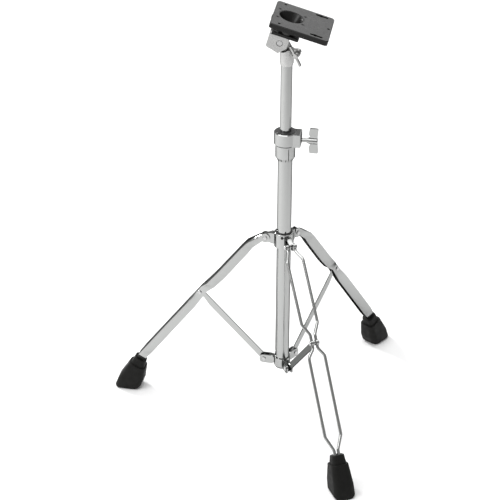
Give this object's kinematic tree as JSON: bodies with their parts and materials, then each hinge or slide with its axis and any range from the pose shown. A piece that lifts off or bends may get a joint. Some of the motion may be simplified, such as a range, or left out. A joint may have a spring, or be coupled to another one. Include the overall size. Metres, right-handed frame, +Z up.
{
  "type": "tripod practice pad stand",
  "caption": "Folding tripod stand with braced chrome legs, a telescopic column and a tilting black plate for a practice pad.",
  "frame": {"origin": "middle of the stand's bounding box, on the floor", "axes": "+Z up the column; +X the way the plate slopes down; +Y the tilt joint's rear side"},
  "size_m": [0.5568, 0.6284, 0.8713],
  "materials": {
    "chrome": "polished",
    "cast_metal": "satin",
    "black_metal": "satin",
    "nylon": "matte",
    "dark_steel": "satin",
    "zinc": "satin",
    "rubber": "matte"
  },
  "bodies": {
    "base": {"lower_tube": "chrome", "tube_end_plug": "nylon", "lower_hub": "chrome", "height_collar": "chrome", "collar_bush": "nylon", "clamp_shoe": "nylon", "left_lower_rivet": "zinc", "left_hub_spacers": "zinc", "right_lower_rivet": "zinc", "right_hub_spacers": "zinc", "front_lower_rivet": "zinc", "front_hub_spacers": "zinc"},
    "upper_hub": {"upper_hub": "chrome", "hub_bush": "nylon", "hub_screw": "dark_steel", "left_upper_rivet": "zinc", "right_upper_rivet": "zinc", "front_upper_rivet": "zinc"},
    "height_wing_bolt": {"height_wing_bolt": "chrome"},
    "pipe_carrier": {"pipe_guide": "nylon"},
    "upper_pipe": {"upper_pipe": "chrome", "tilter_post": "cast_metal", "post_ratchet": "cast_metal", "lug_nut": "dark_steel"},
    "lug_bolt": {"lug_bolt": "cast_metal"},
    "plate": {"tilt_head": "cast_metal", "head_ratchet": "cast_metal", "tilt_bolt": "zinc", "tilt_washer": "zinc", "tilt_flange": "black_metal", "flange_screw": "dark_steel", "plate_cup": "black_metal", "cup_screws": "dark_steel", "pad_plate": "black_metal"},
    "tilt_wing_nut": {"tilt_wing_nut": "cast_metal"},
    "left_strut": {"left_strut": "chrome"},
    "left_leg": {"left_leg": "chrome", "left_leg_end_plug": "nylon", "left_joint_rivet": "zinc", "left_boot": "rubber", "left_joint_spacers": "zinc"},
    "right_strut": {"right_strut": "chrome"},
    "right_leg": {"right_leg": "chrome", "right_leg_end_plug": "nylon", "right_joint_rivet": "zinc", "right_boot": "rubber", "right_joint_spacers": "zinc"},
    "front_strut": {"front_strut": "chrome"},
    "front_leg": {"front_leg_left_rod": "chrome", "front_leg_right_rod": "chrome", "front_joint_rivet": "zinc", "front_boot": "rubber"}
  },
  "joints": [
    {"name": "left_strut_fold", "type": "hinge", "parent": "base", "child": "left_strut", "pos_m": [0.04058, 0.00666, 0.1072], "axis": [0.0523, 0.9986, 0], "range_deg": [0, 36]},
    {"name": "left_leg_fold", "type": "hinge", "parent": "left_strut", "child": "left_leg", "pos_m": [-0.09415, 0.01372, 0.24937], "axis": [0.0523, 0.9986, 0], "range_deg": [-73, 0]},
    {"name": "right_strut_fold", "type": "hinge", "parent": "base", "child": "right_strut", "pos_m": [0.09697, 0.0362, 0.1072], "axis": [0.8508, -0.5255, 0], "range_deg": [0, 36.5]},
    {"name": "right_leg_fold", "type": "hinge", "parent": "right_strut", "child": "right_leg", "pos_m": [0.16787, 0.15099, 0.24937], "axis": [0.8508, -0.5255, 0], "range_deg": [-73, 0]},
    {"name": "front_strut_fold", "type": "hinge", "parent": "base", "child": "front_strut", "pos_m": [0.09513, -0.02783, 0.1072], "axis": [-0.8796, -0.4756, 0], "range_deg": [0, 36.5]},
    {"name": "front_leg_fold", "type": "hinge", "parent": "front_strut", "child": "front_leg", "pos_m": [0.1593, -0.14651, 0.24937], "axis": [-0.8796, -0.4756, 0], "range_deg": [-73, 0]},
    {"name": "hub_on_left_leg", "type": "hinge", "parent": "left_leg", "child": "upper_hub", "pos_m": [0.04058, 0.00666, 0.39155], "axis": [0.0523, 0.9986, 0], "range_deg": [0, 36.5]},
    {"name": "height_slide", "type": "slide", "parent": "base", "child": "pipe_carrier", "axis": [0, 0, 1], "range_m": [-0.13, 0.15]},
    {"name": "pipe_swivel", "type": "hinge", "parent": "pipe_carrier", "child": "upper_pipe", "pos_m": [0.07753, 0.00472, 0.391], "axis": [0, 0, 1], "continuous": true},
    {"name": "plate_tilt", "type": "hinge", "parent": "upper_pipe", "child": "plate", "pos_m": [0.06553, 0.00472, 0.815], "axis": [0, 1, 0], "range_deg": [-40, 20]},
    {"name": "height_bolt_turn", "type": "hinge", "parent": "base", "child": "height_wing_bolt", "pos_m": [0.10753, 0.00472, 0.611], "axis": [1, 0, 0], "continuous": true},
    {"name": "lug_bolt_turn", "type": "hinge", "parent": "upper_pipe", "child": "lug_bolt", "pos_m": [0.09792, 0.00258, 0.792], "axis": [0.1045, 0.9945, 0], "continuous": true},
    {"name": "tilt_nut_turn", "type": "hinge", "parent": "plate", "child": "tilt_wing_nut", "pos_m": [0.06553, 0.01872, 0.815], "axis": [0, 1, 0], "continuous": true}
  ],
  "couplings": [
    {"joint": "left_leg_fold", "follows": "left_strut_fold", "ratio": -2},
    {"joint": "right_strut_fold", "follows": "left_strut_fold", "ratio": 1},
    {"joint": "right_leg_fold", "follows": "left_strut_fold", "ratio": -2},
    {"joint": "front_strut_fold", "follows": "left_strut_fold", "ratio": 1},
    {"joint": "front_leg_fold", "follows": "left_strut_fold", "ratio": -2},
    {"joint": "hub_on_left_leg", "follows": "left_strut_fold", "ratio": 1}
  ]
}
